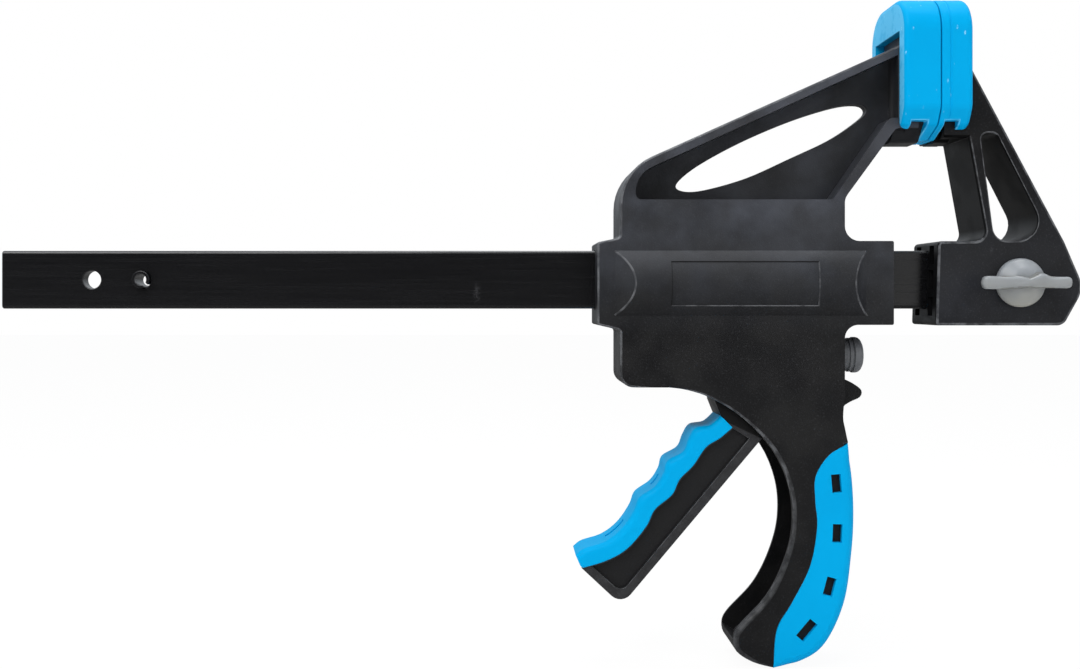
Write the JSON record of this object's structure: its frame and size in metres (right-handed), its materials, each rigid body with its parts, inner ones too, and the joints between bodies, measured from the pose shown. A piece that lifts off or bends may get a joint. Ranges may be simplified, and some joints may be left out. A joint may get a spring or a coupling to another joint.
{
  "type": "quick release bar clamp",
  "caption": "One-handed bar clamp: a trigger drives a fixed jaw on a sliding flat bar towards a pistol-grip jaw, and a push button lets it go.",
  "frame": {"origin": "on the bar's axis, in the middle plane, where the closed pads meet", "axes": "+X along the bar towards the fixed jaw, +Z towards the jaws, Y across the clamp"},
  "size_m": [0.3682, 0.041, 0.226],
  "materials": {
    "body_plastic": "spark-textured black nylon",
    "trigger_plastic": "satin black nylon",
    "soft_blue": "smooth soft-touch blue",
    "bar_paint": "gloss black",
    "steel": "zinc plated",
    "hard_steel": "ground, oiled",
    "wing_plastic": "translucent moulded nylon",
    "button_grey": "dark grey moulded"
  },
  "bodies": {
    "body": {"body_shell_front": "body_plastic", "body_shell_back": "body_plastic", "case_screws": "steel", "handle_grip_front": "soft_blue", "handle_grip_back": "soft_blue", "moving_jaw_pad": "soft_blue", "trigger_pivot_pin": "steel", "drive_spring": "steel", "brake_spring": "steel"},
    "bar_and_jaw": {"bar": "bar_paint", "stop_pin": "bar_paint", "fixed_jaw": "body_plastic", "fixed_jaw_pad": "soft_blue", "jaw_bolt": "steel"},
    "wing_nut": {"wing_nut": "wing_plastic"},
    "trigger": {"trigger": "trigger_plastic", "trigger_grip": "soft_blue"},
    "drive_plates": {"drive_plate_left": "hard_steel", "drive_plate_right": "hard_steel"},
    "brake_lever": {"brake_lever": "hard_steel"},
    "release_button": {"release_button": "button_grey"}
  },
  "joints": [
    {"name": "bar_slide", "type": "slide", "parent": "body", "child": "bar_and_jaw", "axis": [1, 0, 0], "range_m": [0, 0.152]},
    {"name": "wing_nut_turn", "type": "hinge", "parent": "bar_and_jaw", "child": "wing_nut", "pos_m": [0.0282, -0.017, -0.0012], "axis": [0, 1, 0], "continuous": true},
    {"name": "trigger_squeeze", "type": "hinge", "parent": "body", "child": "trigger", "pos_m": [-0.06, 0, -0.027], "axis": [0, -1, 0], "range_deg": [0, 28], "stiffness_Nm_per_rad": 0.35, "springref_deg": -28.65},
    {"name": "drive_travel", "type": "slide", "parent": "body", "child": "drive_plates", "axis": [-1, 0, 0], "range_m": [0, 0.0065], "deforming": ["drive_spring"]},
    {"name": "button_push", "type": "slide", "parent": "body", "child": "release_button", "axis": [-1, 0, 0], "range_m": [0, 0.003], "stiffness_N_per_m": 1200, "springref_m": -0.003},
    {"name": "brake_tilt", "type": "hinge", "parent": "body", "child": "brake_lever", "pos_m": [-0.042, 0, 0.0155], "axis": [0, 1, 0], "range_deg": [0, 4.2], "deforming": ["brake_spring"]}
  ],
  "couplings": [
    {"joint": "drive_travel", "follows": "trigger_squeeze", "m_per_rad": 0.013},
    {"joint": "brake_tilt", "follows": "button_push", "rad_per_m": 24.1}
  ]
}
